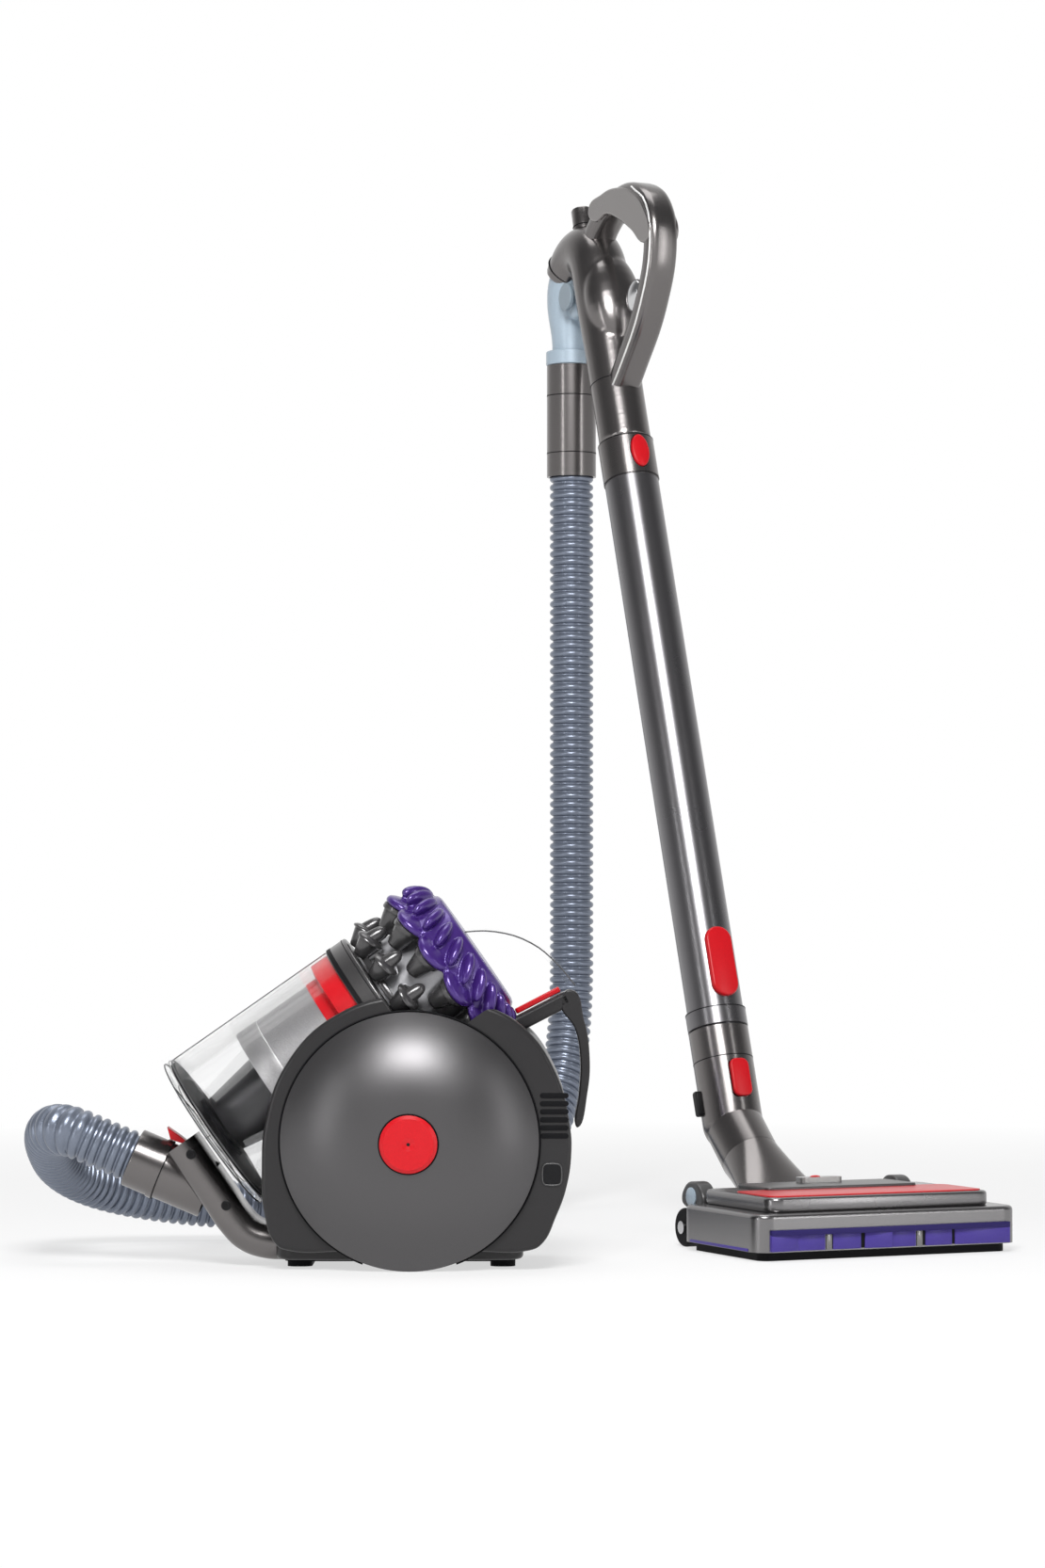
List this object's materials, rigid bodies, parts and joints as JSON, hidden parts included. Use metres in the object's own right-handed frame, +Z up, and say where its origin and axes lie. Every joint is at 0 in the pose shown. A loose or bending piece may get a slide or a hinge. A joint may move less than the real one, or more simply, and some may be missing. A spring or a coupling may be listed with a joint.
{
  "type": "canister vacuum cleaner",
  "caption": "Ball canister vacuum cleaner with a tilted clear dust bin, ribbed hose, folding handle, telescopic wand and hinged floor head.",
  "frame": {"origin": "on the floor under the middle of the wheel axle, on the centre glide pad", "axes": "+Z up; +X towards the rear of the canister; +Y towards the side with the rewind button; the wand stands behind that side"},
  "size_m": [0.9029, 0.8135, 1.0578],
  "materials": {
    "nickel": "satin moulded plastic",
    "bare_tube": "brushed tube",
    "smoke": "gloss dark casing",
    "wheel_gloss": "gloss gunmetal dome",
    "red": "gloss red",
    "purple": "gloss purple",
    "clear": "clear polycarbonate",
    "silver": "silver plastic",
    "black": "black plastic",
    "black_rubber": "soft black rubber",
    "hose_grey": "ribbed blue-grey plastic",
    "light_blue": "pale blue-grey plastic",
    "steel": "plain steel",
    "motor": "pressed can"
  },
  "bodies": {
    "canister": {"casing_near": "smoke", "casing_far": "smoke", "exhaust_grille": "black", "cord_outlet": "black", "base_tray": "nickel", "glide_plate": "black", "cradle_arm": "nickel", "inlet_pipe": "nickel", "inlet_cuff": "nickel", "axle_near": "steel", "axle_far": "steel", "motor_can": "motor", "hose": "hose_grey", "wand_cuff": "nickel"},
    "near_wheel": {"wheel_near": "wheel_gloss"},
    "far_wheel": {"wheel_far": "wheel_gloss"},
    "power_key": {"power_button": "red"},
    "rewind_key": {"rewind_button": "red"},
    "rotor": {"motor_rotor": "steel"},
    "reel": {"cord_reel": "black"},
    "catch": {"hose_catch": "red"},
    "bin": {"bin_tube": "clear", "flap_pin": "steel", "dust_cone": "smoke", "shroud": "silver", "separator_ring": "red", "bin_collar": "smoke", "lower_cyclones": "silver", "upper_cyclones": "silver", "cyclone_cap": "purple", "carry_handle": "nickel", "clear_arch": "clear"},
    "flap": {"bin_flap": "clear", "flap_seal": "black_rubber"},
    "bin_key": {"bin_trigger": "red"},
    "swivel": {"swivel_collar": "light_blue", "swivel_elbow": "light_blue"},
    "handle": {"handle_pipe": "nickel", "elbow_pin": "light_blue", "handle_grip": "nickel", "wand_collar": "nickel", "outer_tube": "nickel"},
    "bleed_key": {"suction_trigger": "silver"},
    "wand_key": {"wand_button": "red"},
    "tube_key": {"telescope_catch": "red"},
    "lower_wand": {"inner_tube": "bare_tube", "neck_pipe": "nickel"},
    "neck_key": {"neck_button": "red"},
    "boot": {"neck_boot": "nickel"},
    "head": {"head_shell": "nickel", "sole_plate": "black", "head_deck": "nickel", "deck_trim": "red", "front_bumper": "purple", "pivot_pin": "steel", "head_axle": "steel"},
    "slider": {"suction_slider": "silver"},
    "left_wheel": {"head_wheel_left": "black_rubber"},
    "right_wheel": {"head_wheel_right": "black_rubber"}
  },
  "joints": [
    {"name": "near_wheel_spin", "type": "hinge", "parent": "canister", "child": "near_wheel", "pos_m": [0, 0, 0.1126], "axis": [0, 1, 0], "continuous": true},
    {"name": "far_wheel_spin", "type": "hinge", "parent": "canister", "child": "far_wheel", "pos_m": [0, 0, 0.1126], "axis": [0, 1, 0], "continuous": true},
    {"name": "power_press", "type": "slide", "parent": "canister", "child": "power_key", "axis": [0, 1, 0], "range_m": [0, 0.003], "stiffness_N_per_m": 400},
    {"name": "rewind_press", "type": "slide", "parent": "canister", "child": "rewind_key", "axis": [0, -1, 0], "range_m": [0, 0.003], "stiffness_N_per_m": 400},
    {"name": "rotor_spin", "type": "hinge", "parent": "canister", "child": "rotor", "pos_m": [0.026, 0, 0.074], "axis": [0, 1, 0], "continuous": true},
    {"name": "reel_spin", "type": "hinge", "parent": "canister", "child": "reel", "pos_m": [0, 0, 0.1126], "axis": [0, 1, 0], "continuous": true},
    {"name": "catch_lift", "type": "hinge", "parent": "canister", "child": "catch", "pos_m": [-0.20651, 0, 0.10964], "axis": [0, 1, 0], "range_deg": [0, 25], "stiffness_Nm_per_rad": 0.05},
    {"name": "bin_lift", "type": "slide", "parent": "canister", "child": "bin", "axis": [0, 0, 1], "range_m": [0, 0.25]},
    {"name": "flap_drop", "type": "hinge", "parent": "bin", "child": "flap", "pos_m": [-0.128, 0, 0.05093], "axis": [0, -1, 0], "range_deg": [0, 75]},
    {"name": "bin_release", "type": "slide", "parent": "bin", "child": "bin_key", "axis": [0.8891, 0, 0.4577], "range_m": [0, 0.005], "stiffness_N_per_m": 400},
    {"name": "hose_swivel", "type": "hinge", "parent": "canister", "child": "swivel", "pos_m": [0.15016, 0.66072, 0.89], "axis": [0, 0, 1], "range_deg": [-5, 110]},
    {"name": "handle_fold", "type": "hinge", "parent": "swivel", "child": "handle", "pos_m": [0.16579, 0.62719, 0.955], "axis": [-0.9063, -0.4226, 0], "range_deg": [0, 30]},
    {"name": "bleed_press", "type": "slide", "parent": "handle", "child": "bleed_key", "axis": [0.389, -0.8343, -0.3907], "range_m": [0, 0.004], "stiffness_N_per_m": 400},
    {"name": "wand_release", "type": "slide", "parent": "handle", "child": "wand_key", "axis": [-0.4002, 0.8582, -0.3214], "range_m": [0, 0.0024], "stiffness_N_per_m": 400},
    {"name": "telescope_release", "type": "slide", "parent": "handle", "child": "tube_key", "axis": [-0.1358, 0.2913, 0.9469], "range_m": [0, 0.006], "stiffness_N_per_m": 400},
    {"name": "telescope", "type": "slide", "parent": "handle", "child": "lower_wand", "axis": [0.1358, -0.2913, -0.9469], "range_m": [0, 0.25]},
    {"name": "head_release", "type": "slide", "parent": "lower_wand", "child": "neck_key", "axis": [-0.4002, 0.8582, -0.3214], "range_m": [0, 0.0024], "stiffness_N_per_m": 400},
    {"name": "neck_swivel", "type": "hinge", "parent": "lower_wand", "child": "boot", "pos_m": [0.31824, 0.30026, 0.07351], "axis": [0.319, -0.684, -0.6561], "range_deg": [-45, 45]},
    {"name": "head_pitch", "type": "hinge", "parent": "boot", "child": "head", "pos_m": [0.35513, 0.22116, 0.038], "axis": [0.9063, 0.4226, 0], "range_deg": [-15, 30]},
    {"name": "suction_slide", "type": "slide", "parent": "head", "child": "slider", "axis": [0.9063, 0.4226, 0], "range_m": [0, 0.01]},
    {"name": "left_wheel_spin", "type": "hinge", "parent": "head", "child": "left_wheel", "pos_m": [0.35808, 0.21482, 0.018], "axis": [0.9063, 0.4226, 0], "continuous": true},
    {"name": "right_wheel_spin", "type": "hinge", "parent": "head", "child": "right_wheel", "pos_m": [0.35808, 0.21482, 0.018], "axis": [0.9063, 0.4226, 0], "continuous": true}
  ],
  "couplings": [
    {"joint": "flap_drop", "follows": "bin_lift", "rad_per_m": 4.8}
  ]
}
